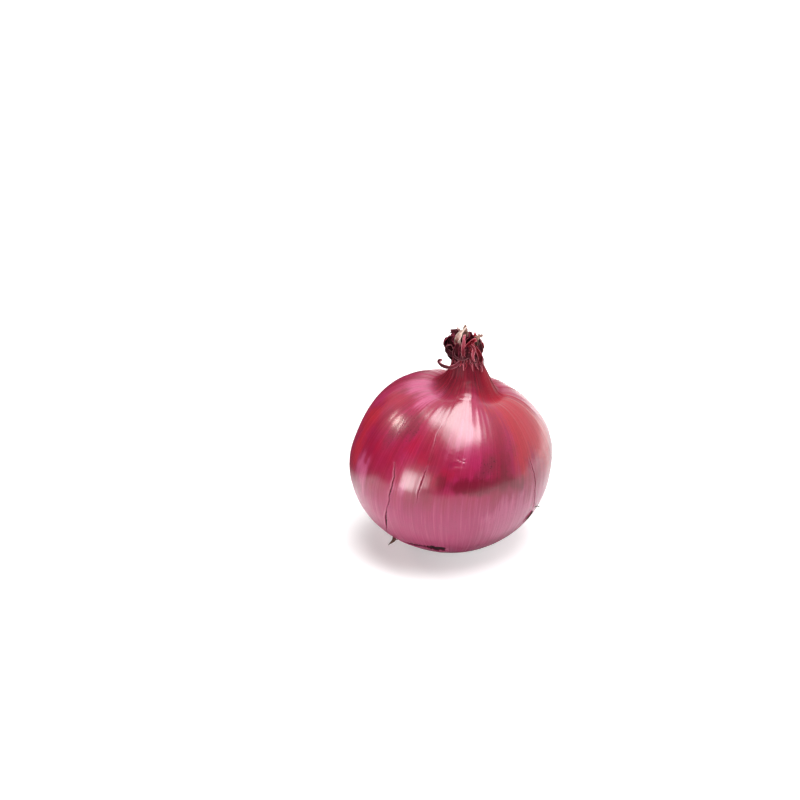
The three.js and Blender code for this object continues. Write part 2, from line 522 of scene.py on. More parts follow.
def skinRelief(angle, height, point):
    # slow swells all over, ribs that sharpen into pleats towards the neck, and a crinkled patch
    ring = Vector((math.cos(angle), math.sin(angle), 0.0))
    swell = 0.34 * noise.noise(point * 0.045) * smoothStep(3, 12, height)
    ribs = noise.noise(ring * 7.0 + Vector((0, 0, height * 0.022)))
    fineRibs = noise.noise(ring * 19.0 + Vector((0, 0, height * 0.03 + 9.0)))
    neck = smoothStep(56, 72, height)
    relief = swell + (0.10 + 0.16 * neck) * ribs + (0.035 + 0.13 * neck) * fineRibs
    degrees = math.degrees(angle) % 360.0
    side = bulb["sideSwell"]
    relief += side["rise"] * math.exp(-((degrees - side["angle"]) / side["spread"]) ** 2
                                      - ((height - side["height"]) / side["tall"]) ** 2)
    pleats = noise.noise(ring * 3.2 + Vector((0, 0, height * 0.05 + 3.0)))
    relief += 0.75 * smoothStep(68, 80, height) * pleats
    crinkle = math.exp(-((degrees - 268) / 9.0) ** 2 - ((height - 50.2) / 3.0) ** 2)
    folds = noise.noise(Vector((degrees * 0.2, 0.0, height * 1.5)))
    folds += 0.6 * noise.noise(Vector((degrees * 0.5, 4.0, height * 2.6)))
    relief += 0.22 * crinkle * folds
    return relief


def frontSwell(radius, degrees):
    # how far the skin is raised in front of the neck
    nearness = min(max((22.5 - radius) / 9.5, 0.0), 1.0)
    fullness = smoothStep(7.0, 11.0, radius) * nearness ** 1.8
    front = bulb["frontSwell"]
    return front["rise"] * fullness * math.exp(-((degrees - front["angle"]) / front["spread"]) ** 2)


def makeBulbMesh():
    dish = [Vector((radius, 0, height)) for radius, height in bulb["dish"]]
    mouth = [Vector((radius, 0, height)) for radius, height in bulb["neckMouth"]]
    bm = spinProfile(dish + outline + mouth, bulb["steps"])
    # finer faces along the rims of the splits
    near = set()
    for face in bm.faces:
        place, number, distance = splitTree.find(face.calc_center_median())
        width = splitPoints[number][1]
        if width - 0.9 < distance < width + 0.8:
            near.update(face.edges)
    bmesh.ops.subdivide_edges(bm, edges=list(near), cuts=2, use_grid_fill=True)
    bm.normal_update()
    return bm


def shapeBulb(bm):
    strand = bm.verts.layers.float_vector.new("strand")
    layers = {key: bm.verts.layers.float.new(key) for key in (*patches, "gap", "edge", "neck")}
    moved = []
    for vert in bm.verts:
        point = vert.co
        angle = math.atan2(point.y, point.x)
        degrees = math.degrees(angle) % 360.0
        height = point.z
        radius = math.hypot(point.x, point.y)
        onNeck = height > bulb["neckFrom"]
        relief = gap = edge = 0.0
        if radius > dishRadius or onNeck:
            relief = skinRelief(angle, height, point)
            relief *= smoothStep(1.3, 5.0, height)
            cut, gap, edge = splitRelief(point, vert.normal)
            relief += cut
        lobe = 1.0 + (bulb["lobe"] * smoothStep(20, widestRadius, radius) * math.sin(2 * angle)
                      / widestRadius)
        place = Vector((point.x * lobe, point.y * lobe, height)) + vert.normal * relief
        if onNeck:
            place.z += frontSwell(radius, degrees)
        moved.append((vert, lean(place)))
        vert[strand] = Vector((math.cos(angle), math.sin(angle), height / 40.0))
        for kind in patches:
            vert[layers[kind]] = patchStrength(kind, degrees, height)
        vert[layers["gap"]] = gap
        vert[layers["edge"]] = edge
        front = math.exp(-((degrees - 275) / 35.0) ** 2)
        reach = radius + 1.2 * noise.noise(place * 0.2)
        neck = 1.0 - smoothStep(9.8 - 0.8 * front, 17.0 - 2.5 * front, reach)
        vert[layers["neck"]] = neck if onNeck else 0.0
    for vert, place in moved:
        vert.co = place


# strength and colour of the patches, laid over the skin in this order
patchColours = {
    "lilac": (0.75, (184, 84, 124)),
    "warmAndNeckHighlight": (0.8, (166, 26, 38)),
    "vivid": (0.75, (150, 0, 44)),
    "brown": (0.6, (104, 30, 44)),
    # dark: the skin's own dark patches, and along the front a painted dark reflection
    "dark": (0.9, (108, 0, 32)),
}


def makeSkinMaterial():
    material, tree, shader = newMaterial("papery skin")
    strand = readAttribute(tree, "strand").outputs["Vector"]
    coords = objectPlace(tree)
    veins = fibresAlong(tree, strand, 78.0, 1.7)
    streaks = fibresAlong(tree, strand, 17.0, 1.2)
    mottle = mottleOn(tree, coords, 110.0, 1300.0)
    veinLines, streakLines = veins.outputs["Lines"], streaks.outputs["Lines"]
    clouds, flecks = mottle.outputs["Clouds"], mottle.outputs["Flecks"]
    unevenness = plus(tree, times(tree, streakLines, 0.42), times(tree, clouds, 0.3))

    def mask(name, strength):
        # a painted patch whose edge follows the streaks and the clouds
        base = readMask(tree, name)
        broken = remap(tree, plus(tree, base, unevenness), 0.45, 1.25)
        inside = times(tree, remap(tree, base, 0.02, 0.3), strength)
        return times(tree, broken, inside, clamp=True)

    colour = mixColours(tree, streaks.outputs["Bands"], srgb(130, 6, 48), srgb(156, 26, 76))
    colour = mixColours(tree, times(tree, clouds, 0.45), colour, srgb(138, 4, 38))
    height = addNode(tree, "ShaderNodeSeparateXYZ", {0: coords}).outputs[2]
    brokenHeight = plus(tree, height, times(tree, unevenness, -0.008))
    # pinker and lighter towards the bottom: the skin's own pinker colour there plus a painted
    # reflection of the bright floor
    low = remap(tree, brokenHeight, 0.039, 0.024)
    colour = mixColours(tree, times(tree, low, 0.85), colour, srgb(164, 38, 94))
    for name, (strength, patchColour) in patchColours.items():
        colour = mixColours(tree, mask(name, strength), colour, srgb(*patchColour))
    neck = readMask(tree, "neck")
    neckColour = mixColours(tree, streakLines, srgb(72, 0, 18), srgb(122, 0, 28))
    # on the neck the warm patches paint a lighter red: a painted highlight along the neck's right
    # side
    sunlit = times(tree, readMask(tree, "warmAndNeckHighlight"), 0.7)
    neckColour = mixColours(tree, sunlit, neckColour, srgb(156, 2, 34))
    colour = mixColours(tree, times(tree, neck, 0.96), colour, neckColour)
    colour = mixColours(tree, times(tree, veinLines, 0.18), colour, srgb(84, 2, 34))
    paleVein = times(tree, remap(tree, veinLines, 0.3, 0.0),
                     remap(tree, low, 0.0, 1.0, 0.03, 0.1))
    colour = mixColours(tree, paleVein, colour, srgb(220, 128, 156))
    freckled = plus(tree, times(tree, readMask(tree, "brown"), 0.8), 0.2)
    colour = mixColours(tree, times(tree, flecks, freckled), colour, srgb(58, 12, 28))
    # the raised lip of each split is painted pale: pale torn skin with a painted highlight on the
    # lip
    edge = times(tree, readMask(tree, "edge"), 0.3)
    colour = mixColours(tree, edge, colour, srgb(226, 132, 160))
    # the inside of each split is painted near-black: painted shadow in the recess under the torn
    # skin
    gap = readMask(tree, "gap")
    colour = mixColours(tree, gap, colour, srgb(34, 0, 8))

    rough = plus(tree, times(tree, clouds, 0.08), times(tree, veinLines, 0.1))
    for more in (0.32, times(tree, gap, 0.3), times(tree, neck, 0.2)):
        rough = plus(tree, rough, more)
    setFinish(tree, shader, colour, rough, 0.2)
    shader.inputs["Coat IOR"].default_value = 1.7
    dull = plus(tree, gap, times(tree, neck, 0.8))
    tree.links.new(remap(tree, dull, 0.0, 0.45, 0.75, 0.03), shader.inputs["Coat Weight"])
    shader.inputs["Coat Roughness"].default_value = 0.21
    relief = plus(tree, veins.outputs["Height"], times(tree, clouds, 0.35))
    addBump(tree, shader, relief, 0.35, 0.00014)
    return material


skinMaterial = makeSkinMaterial()
bulbMesh = makeBulbMesh()
shapeBulb(bulbMesh)
bulbSkin = finishPiece(bulbMesh, "bulbSkin", skinMaterial)
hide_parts("bulb")
print("bulb skin made:", len(bulbSkin.data.polygons), "faces")


leafShape = {"width": 3.4, "tipWidth": 0.4, "taperFrom": 0.55, "twist": (0, 30), "curl": (60, 140),
             "crumple": 0.45, "torn": 0.8, "thickness": 0.14, "across": 16, "facing": (0, -1, 0),
             "colour": "maroon"}
bladeSpacing = 0.17      # between the rows of a strip


def ribbonFrames(spine, twist, facing):
    # a direction along, a side and a face direction at each point of a spine
    frames = []
    count = len(spine)
    side = None
    for i in range(count):
        along = (spine[min(i + 1, count - 1)] - spine[max(i - 1, 0)]).normalized()
        if side is None:
            side = along.cross(facing)
            if side.length < 0.1:
                side = along.cross(Vector((1, 0, 0)))
        side = (side - along * side.dot(along)).normalized()
        turn = Matrix.Rotation(math.radians(blend(twist[0], twist[1], i / (count - 1))), 3, along)
        turnedSide = turn @ side
        frames.append((along, turnedSide, turnedSide.cross(along)))
    return frames


def addBlade(bm, leaf, number):
    # a crumpled strip: a flat grid bent round its spine, curled across, creased and torn at the tip
    layers = bm.verts.layers
    grain = layers.float_vector.get("grain") or layers.float_vector.new("grain")
    tone = layers.float.get("tone") or layers.float.new("tone")
    rim = layers.float.get("rim") or layers.float.new("rim")
    spine = samplePath([Vector(point) for point in leaf["spine"]], bladeSpacing)
    frames = ribbonFrames(spine, leaf["twist"], Vector(leaf["facing"]))
    length = bladeSpacing * len(spine)
    verts = bmesh.ops.create_grid(bm, x_segments=leaf["across"], y_segments=len(spine) - 1,
                                  size=0.5)["verts"]
    crumple = leaf["crumple"]
    shift = Vector((0, 0, number * 7.7))
    for vert in verts:
        u, v = vert.co.x, vert.co.y + 0.5
        index = min(int(v * (len(spine) - 1) + 0.5), len(spine) - 1)
        along, side, face = frames[index]
        width = leaf["width"] * blend(1.0, leaf["tipWidth"], smoothStep(leaf["taperFrom"], 1.0, v))
        width *= 0.72 + 0.28 * smoothStep(0.0, 0.3, v)
        width *= 1.0 + 0.16 * noise.noise(Vector((v * length * 1.1, math.copysign(2.0, u), number)))
        bow = max(abs(math.radians(blend(leaf["curl"][0], leaf["curl"][1], v))), 0.05)
        place = spine[index] + side * (width * math.sin(bow * u) / bow)
        place += face * (width * (1.0 - math.cos(bow * u)) / bow)
        flat = Vector((u * leaf["width"], v * length, 0.0)) + shift
        fold = 0.5 - abs(noise.noise(flat * 0.8))
        bend = (noise.noise_vector(flat * 0.42) + 0.36 * noise.noise_vector(flat * 1.5)
                + 0.8 * fold * face)
        place += crumple * smoothStep(-0.1, 0.3, v) * bend
        jag = noise.noise(Vector((u * 9.0, number * 4.4, 0.0)))
        place += along * leaf["torn"] * jag * smoothStep(0.7, 1.0, v)
        vert.co = place
        vert[grain] = Vector((u * width, number * 1.7, v * length))
        vert[tone] = v
        vert[rim] = smoothStep(0.36, 0.5, abs(u)) * 0.8 + smoothStep(0.9, 1.0, v) * 0.6
    faces = list({face for vert in verts for face in vert.link_faces})
    bmesh.ops.recalc_face_normals(bm, faces=faces)
    for vert in verts:
        vert.normal_update()
    inner = bmesh.ops.extrude_face_region(bm, geom=faces, use_keep_orig=True)["geom"]
    for part in inner:
        if isinstance(part, bmesh.types.BMVert):
            part.co -= part.normal * leaf["thickness"]
    shell = {face for vert in verts for face in vert.link_faces}
    shell.update(part for part in inner if isinstance(part, bmesh.types.BMFace))
    bmesh.ops.recalc_face_normals(bm, faces=list(shell))
    volume = sum((face.calc_center_median() - spine[0]).dot(face.normal) * face.calc_area()
                 for face in shell)
    if volume < 0:           # a tightly crumpled strip can come out inside out
        bmesh.ops.reverse_faces(bm, faces=list(shell))


def makeBlade(leaf, number):
    bm = bmesh.new()
    addBlade(bm, {**leafShape, **leaf}, number)
    return bm


def makeLeafMaterial(name, base, tip, rimColour, shine, depth=0.6):
    material, tree, shader = newMaterial(name)
    grain = readAttribute(tree, "grain").outputs["Vector"]
    fibres = fibresAlong(tree, grain, 5.5, 0.5)
    mottle = mottleOn(tree, objectPlace(tree), 420.0, 2400.0)
    colour = mixColours(tree, remap(tree, readMask(tree, "tone"), 0.15, 0.9), srgb(*base),
                        srgb(*tip))
    dark = mixColours(tree, 1.0, colour, (0.3, 0.22, 0.24, 1.0), "MULTIPLY")
    colour = mixColours(tree, times(tree, fibres.outputs["Lines"], depth), colour, dark)
    colour = mixColours(tree, times(tree, mottle.outputs["Clouds"], 0.35), colour, dark)
    torn = times(tree, readMask(tree, "rim"),
                 remap(tree, fibres.outputs["Bands"], 0.1, 0.8, 0.4, 1.0))
    colour = mixColours(tree, times(tree, torn, 0.75, clamp=True), colour, srgb(*rimColour))
    rough = remap(tree, fibres.outputs["Lines"], 0.0, 1.0, shine, shine + 0.25)
    setFinish(tree, shader, colour, rough, 0.16)
    addBump(tree, shader, fibres.outputs["Height"], 0.5, 0.00022)
    return material


# colour at the foot, at the tip and along the torn rim, shine, and depth of the dark lines
leafColours = {
    "maroon": ((64, 0, 14), (72, 0, 18), (158, 58, 82), 0.5),
    "straw": ((176, 92, 88), (255, 232, 216), (255, 244, 232), 0.55, 0.25),
    "pink": ((120, 14, 36), (214, 100, 118), (250, 176, 184), 0.42),
    "red": ((92, 2, 20), (150, 8, 34), (240, 120, 136), 0.42),
    "tan": ((96, 40, 42), (178, 138, 124), (214, 182, 166), 0.55),
    # the strand's lighter foot is its own paler colour with a painted highlight over it
    "strand": ((134, 52, 66), (70, 2, 18), (240, 150, 164), 0.42),
    "dusky": ((70, 24, 34), (108, 48, 58), (148, 92, 98), 0.5),
}
leafMaterials = {name: makeLeafMaterial(f"{name} leaf", *look)
                 for name, look in leafColours.items()}

leaves = [
    # the dark crumpled clump at the left of the tuft and the curl in front of it
    {"spine": [(2.8, -1.6, 82.0), (0.4, -2.2, 84.0), (-1.8, -2.2, 86.2), (-1.5, -2.0, 88.4),
               (0.3, -2.2, 90.2)],
     "width": 5.2, "twist": (-20, 50), "curl": (120, 210), "crumple": 0.75, "tipWidth": 0.6},
    {"spine": [(1.8, -3.4, 82.4), (-0.7, -4.0, 82.4), (-2.4, -4.0, 84.0), (-2.0, -4.2, 86.0),
               (-0.3, -4.4, 86.3), (0.3, -4.4, 84.9)],
     "width": 1.9, "twist": (10, 60), "curl": (60, 130), "crumple": 0.24, "tipWidth": 0.5,
     "colour": "dusky"},
    # the straw-coloured tips
    {"spine": [(2.8, -1.2, 83.6), (1.9, -1.5, 86.8), (2.9, -1.2, 89.4), (5.2, -0.6, 91.8)],
     "width": 2.5, "twist": (10, -20), "curl": (50, 90), "tipWidth": 0.1, "taperFrom": 0.45,
     "crumple": 0.26, "torn": 0.1, "colour": "straw"},
    {"spine": [(2.8, -3.0, 84.4), (2.5, -3.4, 86.6), (2.8, -3.4, 88.6)],
     "width": 1.5, "twist": (20, 50), "curl": (40, 60), "tipWidth": 0.2, "crumple": 0.16,
     "torn": 0.1, "colour": "straw"},
    # the pale upright strip and the folded red one beside it
    {"spine": [(4.5, -5.8, 80.6), (4.0, -5.6, 84.2), (4.2, -4.8, 87.6), (4.4, -4.0, 90.2)],
     "width": 1.6, "twist": (0, 20), "curl": (40, 80), "tipWidth": 0.5, "crumple": 0.24,
     "colour": "pink"},
    {"spine": [(6.2, -5.1, 81.0), (5.7, -5.1, 84.2), (6.3, -4.5, 87.0), (8.6, -3.8, 88.6)],
     "width": 3.6, "twist": (0, 50), "curl": (110, 170), "tipWidth": 0.6, "crumple": 0.5,
     "colour": "red"},
    # the curled grey tip and the open ribbon at the right
    {"spine": [(8.2, -1.0, 82.6), (8.8, -1.2, 86.0), (10.0, -1.2, 88.0), (11.7, -1.0, 88.7)],
     "width": 2.8, "twist": (0, -60), "curl": (90, 200), "tipWidth": 0.3, "crumple": 0.42,
     "colour": "tan"},
    {"spine": [(10.4, -3.6, 78.4), (10.3, -4.3, 81.2), (9.0, -4.9, 84.2), (7.4, -4.9, 86.6)],
     "width": 2.6, "twist": (20, 60), "curl": (120, 200), "tipWidth": 0.5, "crumple": 0.26,
     "colour": "red"},
    # leaf ends behind and in the middle
    {"spine": [(7.6, 2.2, 82.0), (8.4, 3.2, 85.0), (9.2, 4.4, 86.4), (8.6, 5.4, 87.2)],
     "width": 4.0, "twist": (180, 220), "curl": (80, 160), "crumple": 0.6, "colour": "red"},
    {"spine": [(3.4, 2.4, 82.0), (2.6, 3.4, 85.0), (1.2, 4.4, 87.2), (-0.6, 4.8, 88.0)],
     "width": 4.2, "twist": (180, 150), "curl": (100, 190), "crumple": 0.7},
    {"spine": [(5.4, 1.6, 82.4), (5.6, 2.4, 86.2), (4.8, 2.8, 89.0), (5.2, 3.4, 90.8)],
     "width": 3.2, "twist": (180, 200), "curl": (60, 140), "tipWidth": 0.2, "crumple": 0.5,
     "colour": "tan"},
    {"spine": [(5.4, -0.6, 82.2), (5.8, -1.0, 85.6), (6.6, -0.8, 88.0), (6.4, -0.2, 89.8)],
     "width": 3.8, "twist": (-30, 40), "curl": (120, 220), "crumple": 0.7},
]

for number, leaf in enumerate(leaves, start=1):
    piece = finishPiece(makeBlade(leaf, number), f"dryLeaf{number:02d}",
                        leafMaterials[leaf.get("colour", "maroon")])
    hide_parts(f"dry_leaf_{number:02d}")

# narrower folds between the leaves
foldShape = {**leafShape, "curl": (100, 170), "crumple": 0.5}
folds = {
    "foldMiddle": {
        "spine": [(1.9, -5.2, 80.4), (1.3, -5.2, 83.2), (1.8, -4.4, 86.8)],
        "width": 3.2, "curl": (80, 130), "crumple": 0.35,
    },
    "foldHollow": {
        "spine": [(3.5, -5.5, 80.4), (3.1, -5.3, 83.0), (3.2, -4.4, 86.2)],
        "width": 2.3, "curl": (60, 120), "crumple": 0.3,
    },
    "foldRim": {
        "spine": [(0.9, -4.8, 85.4), (0.4, -5.5, 83.0), (1.7, -6.0, 81.4),
                  (4.0, -6.3, 81.0), (6.0, -6.1, 81.5)],
        "width": 1.3, "curl": (120, 160), "crumple": 0.16, "colour": "dusky",
    },
    "foldPink": {
        "spine": [(6.9, -5.0, 86.6), (8.2, -5.4, 85.0), (7.8, -5.8, 82.6), (8.5, -5.7, 79.8)],
        "width": 1.3, "curl": (60, 120), "crumple": 0.18, "colour": "pink",
    },
    "foldDark": {
        "spine": [(5.6, -5.8, 80.6), (5.7, -5.6, 83.4), (5.4, -4.8, 86.2)],
        "width": 2.2, "curl": (90, 150), "crumple": 0.3,
    },
    "foldSide": {
        "spine": [(7.4, -5.3, 79.6), (7.0, -5.2, 82.6), (7.3, -4.2, 85.8)],
        "width": 2.0, "curl": (90, 150), "crumple": 0.3, "colour": "red",
    },
    "foldRight": {
        "spine": [(9.6, -1.8, 79.8), (10.3, -1.8, 83.2), (10.6, -1.4, 86.0)],
        "width": 2.8, "curl": (100, 180), "crumple": 0.4, "colour": "dusky",
    },
    "foldLeft": {
        "spine": [(0.6, -2.6, 80.0), (-0.9, -2.2, 83.4), (-0.8, -0.8, 88.4)],
        "width": 3.8, "curl": (120, 180),
    },
    "foldBack": {
        "spine": [(5.0, 4.4, 79.8), (5.6, 4.8, 83.0), (6.6, 5.2, 85.2)],
        "width": 3.4, "twist": (180, 200), "curl": (100, 180),
    },
    "foldBackLeft": {
        "spine": [(1.2, 3.2, 79.8), (0.4, 3.8, 83.0), (-0.4, 4.2, 86.0)],
        "width": 3.2, "twist": (180, 160), "colour": "dusky",
    },
    "foldRightLow": {
        "spine": [(10.4, 0.8, 79.6), (10.9, 0.8, 82.8), (10.4, 0.8, 86.2)],
        "width": 3.0, "facing": (1, 0, 0), "colour": "red",
    },
    "foldRightTall": {
        "spine": [(9.0, 0.6, 82.0), (9.4, 1.0, 85.4), (9.8, 0.2, 88.6)],
        "width": 3.4, "facing": (1, 0, 0), "curl": (120, 200), "crumple": 0.6, "colour": "dusky",
    },
    "foldLeftLow": {
        "spine": [(0.2, 1.4, 79.8), (0.2, 1.2, 83.4), (1.0, 0.8, 88.6)],
        "width": 4.2, "facing": (-1, 0, 0),
    },
    "foldCore": {
        "spine": [(5.6, 0.8, 82.2), (5.2, 0.4, 85.4), (5.8, 0.2, 88.2)],
        "width": 4.6, "curl": (160, 240), "crumple": 0.9, "colour": "dusky",
    },
    "foldBackTall": {
        "spine": [(6.6, 3.8, 81.8), (6.4, 4.2, 85.0), (7.2, 4.0, 87.8)],
        "width": 3.6, "twist": (180, 200), "curl": (120, 190), "crumple": 0.6, "colour": "tan",
    },
    "foldBackRight": {
        "spine": [(9.2, 3.0, 79.8), (9.9, 3.2, 83.0), (10.8, 2.6, 85.4)],
        "width": 3.0, "twist": (180, 210), "colour": "red",
    },
}
for number, (name, fold) in enumerate(folds.items(), start=40):
    fold = {**foldShape, **fold}
    finishPiece(makeBlade(fold, number), name, leafMaterials[fold["colour"]])


frayShape = {"top": (80.5, 82.5), "bottom": (75.6, 79.0), "widths": (0.7, 1.5),
             "tipWidth": 0.08, "taperFrom": 0.15, "curl": (60, 130), "crumple": 0.12,
             "torn": 0.2, "across": 6, "thickness": 0.1}


def neckFrays(count, angles, seed):
    # torn leaf feet: short pointed strips that hang on the neck under the tuft
    bm = bmesh.new()
    rng = random.Random(seed)
    for i in range(count):
        degrees = blend(angles[0], angles[1], (i + rng.uniform(0.1, 0.9)) / count)
        top, bottom = rng.uniform(*frayShape["top"]), rng.uniform(*frayShape["bottom"])
        spine = []
        for share in (0.0, 1 / 3, 2 / 3, 1.0):
            spine.append(skinPoint(degrees + rng.uniform(-4, 4) * share, blend(top, bottom, share),
                                   0.3 + rng.uniform(0.1, 0.9) * share ** 2))
        turn = math.radians(degrees)
        strip = {**leafShape, **frayShape, "spine": spine,
                 "width": rng.uniform(*frayShape["widths"]), "twist": (0, rng.uniform(-40, 40)),
                 "facing": (math.cos(turn), math.sin(turn), 0.1)}
        addBlade(bm, strip, seed * 40 + i)
    return bm


# how many, between which angles, seed and colour
frays = {"frayDark": (13, (195, 352), 3, "maroon"), "frayRed": (9, (205, 348), 4, "red"),
         "frayPink": (7, (214, 346), 5, "pink"), "frayBack": (16, (-5, 195), 6, "dusky")}
for name, (count, angles, seed, colour) in frays.items():
    finishPiece(neckFrays(count, angles, seed), name, leafMaterials[colour])
print("leaves made:", len(leaves))


def addTube(bm, points, radii, sides):
    # a thin stalk: rings along a path, bridged and closed at both ends
    layer = bm.verts.layers.float.get("tone") or bm.verts.layers.float.new("tone")
    rings = []
    for i, point in enumerate(points):
        along = (points[min(i + 1, len(points) - 1)] - points[max(i - 1, 0)]).normalized()
        turn = along.to_track_quat("Z", "Y").to_matrix().to_4x4()
        made = bmesh.ops.create_circle(bm, cap_ends=i in (0, len(points) - 1), segments=sides,
                                       radius=radii[i], matrix=Matrix.Translation(point) @ turn)
        ring = made["verts"]
        for vert in ring:
            vert[layer] = i / (len(points) - 1)
        rings.append({edge for vert in ring for edge in vert.link_edges})
    for first, second in zip(rings[:-1], rings[1:]):
        bmesh.ops.bridge_loops(bm, edges=list(first | second))


def taper(count, start, end):
    return [blend(start, end, i / (count - 1)) for i in range(count)]


strand = {
    "facing": (0, -1, -0.3),
    "spine": [(2.8, -5.6, 79.8), (1.1, -5.9, 78.5), (-0.8, -5.0, 77.4), (-3.2, -3.6, 77.4),
              (-4.9, -2.6, 78.4), (-4.6, -2.8, 79.2), (-4.0, -3.0, 78.9)],
    "width": 2.2, "tipWidth": 0.6, "taperFrom": 0.7, "twist": (-10, 20), "curl": (110, 170),
    "crumple": 0.14, "torn": 0.15, "across": 12,
}
piece = finishPiece(makeBlade(strand, 21), "dryStrand", leafMaterials["strand"])
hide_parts("dry_strand")


def makeFibreMaterial(name, start, end):
    material, tree, shader = newMaterial(name)
    mottle = mottleOn(tree, objectPlace(tree), 500.0, 2600.0)
    colour = mixColours(tree, readMask(tree, "tone"), srgb(*start), srgb(*end))
    dark = mixColours(tree, 1.0, colour, (0.35, 0.3, 0.3, 1.0), "MULTIPLY")
    colour = mixColours(tree, times(tree, mottle.outputs["Clouds"], 0.6), colour, dark)
    setFinish(tree, shader, colour, 0.7)
    addBump(tree, shader, mottle.outputs["Clouds"], 0.4, 0.0001)
    return material


paleFibre = makeFibreMaterial("pale fibre", (150, 78, 84), (240, 206, 192))

# each fan of hairs: its foot, heading, count and length
hairs = {
    "fans": [((3.4, -0.8, 89.4), (-0.35, -0.1, 0.95), 9, 3.2),
             ((-1.8, -1.4, 88.7), (-0.9, 0.1, 0.4), 1, 3.6),
             ((10.6, -0.8, 87.8), (0.4, 0.0, 0.9), 4, 2.0),
             ((5.4, 3.0, 88.6), (0.1, 0.4, 0.9), 6, 2.4)],
    "radius": (0.15, 0.06),
    "sides": 5,
}


def tuftHairs():
    # fine pale hairs that fan out of the top of the tuft
    bm = bmesh.new()
    rng = random.Random(17)
    for root, direction, count, length in hairs["fans"]:
        for i in range(count):
            start = Vector(root) + Vector([rng.uniform(-0.5, 0.5) for axis in range(3)])
            heading = Vector(direction) + Vector([rng.uniform(-0.35, 0.35) for axis in range(3)])
            reach = length * rng.uniform(0.55, 1.1)
            sag = Vector((rng.uniform(-0.5, 0.5), rng.uniform(-0.5, 0.5), -0.4))
            points = [start + heading * reach * s + sag * s * s for s in (0, 0.25, 0.5, 0.75, 1.0)]
            addTube(bm, points, taper(len(points), *hairs["radius"]), hairs["sides"])
    bmesh.ops.recalc_face_normals(bm, faces=bm.faces)
    return bm


finishPiece(tuftHairs(), "tuftHairs", paleFibre)
print("fibres made")


def makeTornMaterial():
    material, tree, shader = newMaterial("torn skin")
    grain = readAttribute(tree, "grain").outputs["Vector"]
    fibres = fibresAlong(tree, grain, 6.0, 0.8)
    colour = mixColours(tree, fibres.outputs["Lines"], srgb(86, 40, 30), srgb(44, 14, 18))
    tone = times(tree, readMask(tree, "tone"), 0.6)
    colour = mixColours(tree, tone, colour, srgb(96, 74, 48))
    setFinish(tree, shader, colour, 0.68)
    addBump(tree, shader, fibres.outputs["Height"], 0.5, 0.0002)
    return material


tornMaterial = makeTornMaterial()

tornBits = {
    "tornSkinLeft": {"spine": [(-22.2, -18.0, 11.6), (-22.4, -18.6, 9.6), (-24.6, -19.0, 7.6)],
                     "width": 1.5, "tipWidth": 0.08, "taperFrom": 0.25, "node": "torn_skin_left"},
    "tornSkinLeftArm": {"spine": [(-22.6, -18.4, 9.4), (-21.6, -19.8, 10.5), (-20.2, -21.2, 11.5)],
                        "width": 0.9, "tipWidth": 0.1, "taperFrom": 0.2},
    "tornSkinRight": {"spine": [skinPoint(327.6, 23.2, 0.1), skinPoint(326.2, 21.4, 0.2),
                                skinPoint(324.4, 20.0, 0.2), skinPoint(322.6, 19.0, 0.05)],
                      "width": 0.45, "tipWidth": 0.1, "taperFrom": 0.4, "node": "torn_skin_right"},
    "tornFlakeRight": {"spine": [skinPoint(328.6, 24.8, 0.05), skinPoint(331, 24.6, 0.5),
                                 skinPoint(333, 24.0, 0.9), skinPoint(333.6, 23.2, 0.7)],
                       "width": 0.6, "tipWidth": 0.2, "taperFrom": 0.2},
}
for number, (name, bit) in enumerate(tornBits.items()):
    shape = {"twist": (0, 50), "curl": (60, 120), "crumple": 0.14, "torn": 0.15, "across": 8, **bit}
    piece = finishPiece(makeBlade(shape, 30 + number), name, tornMaterial)
    if "node" in bit:
        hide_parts(bit["node"])
print("torn skin made")


plate = {"radius": 8.4, "thickness": 2.6, "rings": 26, "steps": 96, "edge": (1.0, 1.5, 2.0),
         "pits": 0.28, "wobble": 0.035}


def makePlateMesh():
    # a thin disc, rough underneath and at its edge
    radius, top = plate["radius"], plate["thickness"]
    profile = [Vector((radius * i / plate["rings"], 0, 0)) for i in range(plate["rings"] + 1)]
    profile[-1].z = 0.5
    profile += [Vector((radius, 0, z)) for z in (*plate["edge"], top)]
    profile.append(Vector((0, 0, top)))
    bm = spinProfile(profile, plate["steps"])
    for vert in bm.verts:
        rough = noise.noise(vert.co * 1.1) + 0.6 * noise.noise(vert.co * 2.9)
        reach = math.hypot(vert.co.x, vert.co.y)
        if vert.co.z < 1.2:
            pit = max(plate["pits"] * (rough + 0.25), 0.0)
            vert.co.z += pit * smoothStep(0.2, 3.0, reach + 1.5)
        if reach > radius - 0.6:
            vert.co.x *= 1.0 + plate["wobble"] * rough
            vert.co.y *= 1.0 + plate["wobble"] * rough
    return bm


def makeCorkMaterial():
    material, tree, shader = newMaterial("corky plate")
    coords = objectPlace(tree)
    mottle = mottleOn(tree, coords, 480.0, 1900.0)
    cells = addNode(tree, "ShaderNodeTexVoronoi", {"Vector": coords, "Scale": 900.0})
    colour = mixColours(tree, mottle.outputs["Clouds"], srgb(150, 120, 76), srgb(98, 72, 44))
    flecks = times(tree, mottle.outputs["Flecks"], 0.7)
    colour = mixColours(tree, flecks, colour, srgb(52, 34, 24))
    setFinish(tree, shader, colour, 0.9)
    relief = plus(tree, cells.outputs["Distance"], mottle.outputs["Clouds"])
    addBump(tree, shader, relief, 0.7, 0.0003)
    return material


rootPlate = finishPiece(makePlateMesh(), "rootPlate", makeCorkMaterial())
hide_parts("root_plate")

roots = {"count": 18, "strands": 4, "radius": 0.3, "reach": (2.2, 5.0), "from": 7.9,
         "steps": 8, "sides": 6}


